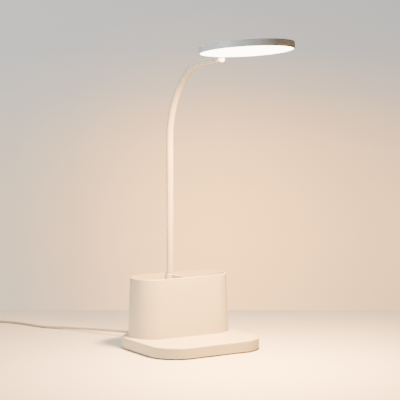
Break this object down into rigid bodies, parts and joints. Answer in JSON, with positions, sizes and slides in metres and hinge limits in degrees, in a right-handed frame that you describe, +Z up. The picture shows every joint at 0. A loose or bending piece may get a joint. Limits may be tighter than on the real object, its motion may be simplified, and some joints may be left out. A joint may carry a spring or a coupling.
{
  "type": "desk lamp with pen holder",
  "caption": "Desk lamp: a thick base plate with a tapered pen holder with a divider, a flexible neck and a thin round light panel, on a plug-in cord.",
  "frame": {"origin": "on the resting plane, under the middle of the pen holder", "axes": "+Z up, -Y to the front where the light reaches out, +X to the right; symmetric about X = 0 apart from the cord"},
  "size_m": [0.2835, 0.5633, 0.4057],
  "materials": {
    "white_plastic": "satin",
    "cover_plastic": "fine matte",
    "neck_sleeve": "smooth matte",
    "foot_rubber": "matte",
    "plated_steel": "zinc plated",
    "plug_steel": "bright",
    "circuit_board": "solder mask",
    "components": "matte",
    "electrode_foil": "foil",
    "cord_vinyl": "satin",
    "opal_diffuser": "opal satin",
    "clear_acrylic": "clear gloss",
    "white_film": "matte",
    "foam": "matte",
    "strip_film": "matte",
    "led_package": "gloss"
  },
  "bodies": {
    "base": {"foot_pad": "foot_rubber", "base_cover": "cover_plastic", "cover_screws": "plated_steel", "ballast_plate": "plated_steel", "base_shell": "white_plastic", "holder_shell": "white_plastic", "holder_screws": "plated_steel", "driver_board": "circuit_board", "board_parts": "components", "board_screws": "plated_steel", "touch_electrode": "electrode_foil", "neck_root": "neck_sleeve", "neck_washer": "plated_steel", "neck_nut": "plated_steel", "cord_grip": "cord_vinyl", "cord": "cord_vinyl", "cord_coil": "cord_vinyl", "plug_body": "cord_vinyl", "plug_metal": "plug_steel"},
    "neck_01": {"neck_link_01": "neck_sleeve"},
    "neck_02": {"neck_link_02": "neck_sleeve"},
    "neck_03": {"neck_link_03": "neck_sleeve"},
    "neck_04": {"neck_link_04": "neck_sleeve"},
    "neck_05": {"neck_link_05": "neck_sleeve"},
    "neck_06": {"neck_link_06": "neck_sleeve"},
    "neck_07": {"neck_link_07": "neck_sleeve"},
    "neck_08": {"neck_link_08": "neck_sleeve"},
    "neck_09": {"neck_link_09": "neck_sleeve"},
    "neck_10": {"neck_link_10": "neck_sleeve"},
    "neck_11": {"neck_link_11": "neck_sleeve"},
    "light": {"neck_link_12": "neck_sleeve", "head_shell": "white_plastic", "neck_set_screw": "plated_steel", "diffuser": "opal_diffuser", "light_guide": "clear_acrylic", "reflector": "white_film", "foam_ring": "foam", "led_strip": "strip_film", "leds": "led_package"}
  },
  "joints": [
    {"name": "bend_01", "type": "hinge", "parent": "base", "child": "neck_01", "pos_m": [0, 0.0223, 0.098], "axis": [1, 0, 0], "range_deg": [-15, 15]},
    {"name": "lean_02", "type": "hinge", "parent": "neck_01", "child": "neck_02", "pos_m": [0, 0.0223, 0.12852], "axis": [0, 1, 0], "range_deg": [-15, 15]},
    {"name": "bend_03", "type": "hinge", "parent": "neck_02", "child": "neck_03", "pos_m": [0, 0.0223, 0.15903], "axis": [1, 0, 0], "range_deg": [-15, 15]},
    {"name": "lean_04", "type": "hinge", "parent": "neck_03", "child": "neck_04", "pos_m": [0, 0.0223, 0.18955], "axis": [0, 1, 0], "range_deg": [-15, 15]},
    {"name": "bend_05", "type": "hinge", "parent": "neck_04", "child": "neck_05", "pos_m": [0, 0.0223, 0.22006], "axis": [1, 0, 0], "range_deg": [-15, 15]},
    {"name": "lean_06", "type": "hinge", "parent": "neck_05", "child": "neck_06", "pos_m": [0, 0.0223, 0.25058], "axis": [0, 1, 0], "range_deg": [-15, 15]},
    {"name": "bend_07", "type": "hinge", "parent": "neck_06", "child": "neck_07", "pos_m": [0, 0.02224, 0.28109], "axis": [1, 0, 0], "range_deg": [-15, 15]},
    {"name": "lean_08", "type": "hinge", "parent": "neck_07", "child": "neck_08", "pos_m": [0, 0.01698, 0.31105], "axis": [0, 0.9509, 0.3095], "range_deg": [-15, 15]},
    {"name": "bend_09", "type": "hinge", "parent": "neck_08", "child": "neck_09", "pos_m": [0, 0.0036, 0.33837], "axis": [1, 0, 0], "range_deg": [-15, 15]},
    {"name": "lean_10", "type": "hinge", "parent": "neck_09", "child": "neck_10", "pos_m": [0, -0.01684, 0.36089], "axis": [0, 0.6389, 0.7693], "range_deg": [-15, 15]},
    {"name": "bend_11", "type": "hinge", "parent": "neck_10", "child": "neck_11", "pos_m": [0, -0.04317, 0.37589], "axis": [1, 0, 0], "range_deg": [-15, 15]},
    {"name": "lean_12", "type": "hinge", "parent": "neck_11", "child": "light", "pos_m": [0, -0.07334, 0.38014], "axis": [0, 0.1028, 0.9947], "range_deg": [-15, 15]}
  ]
}
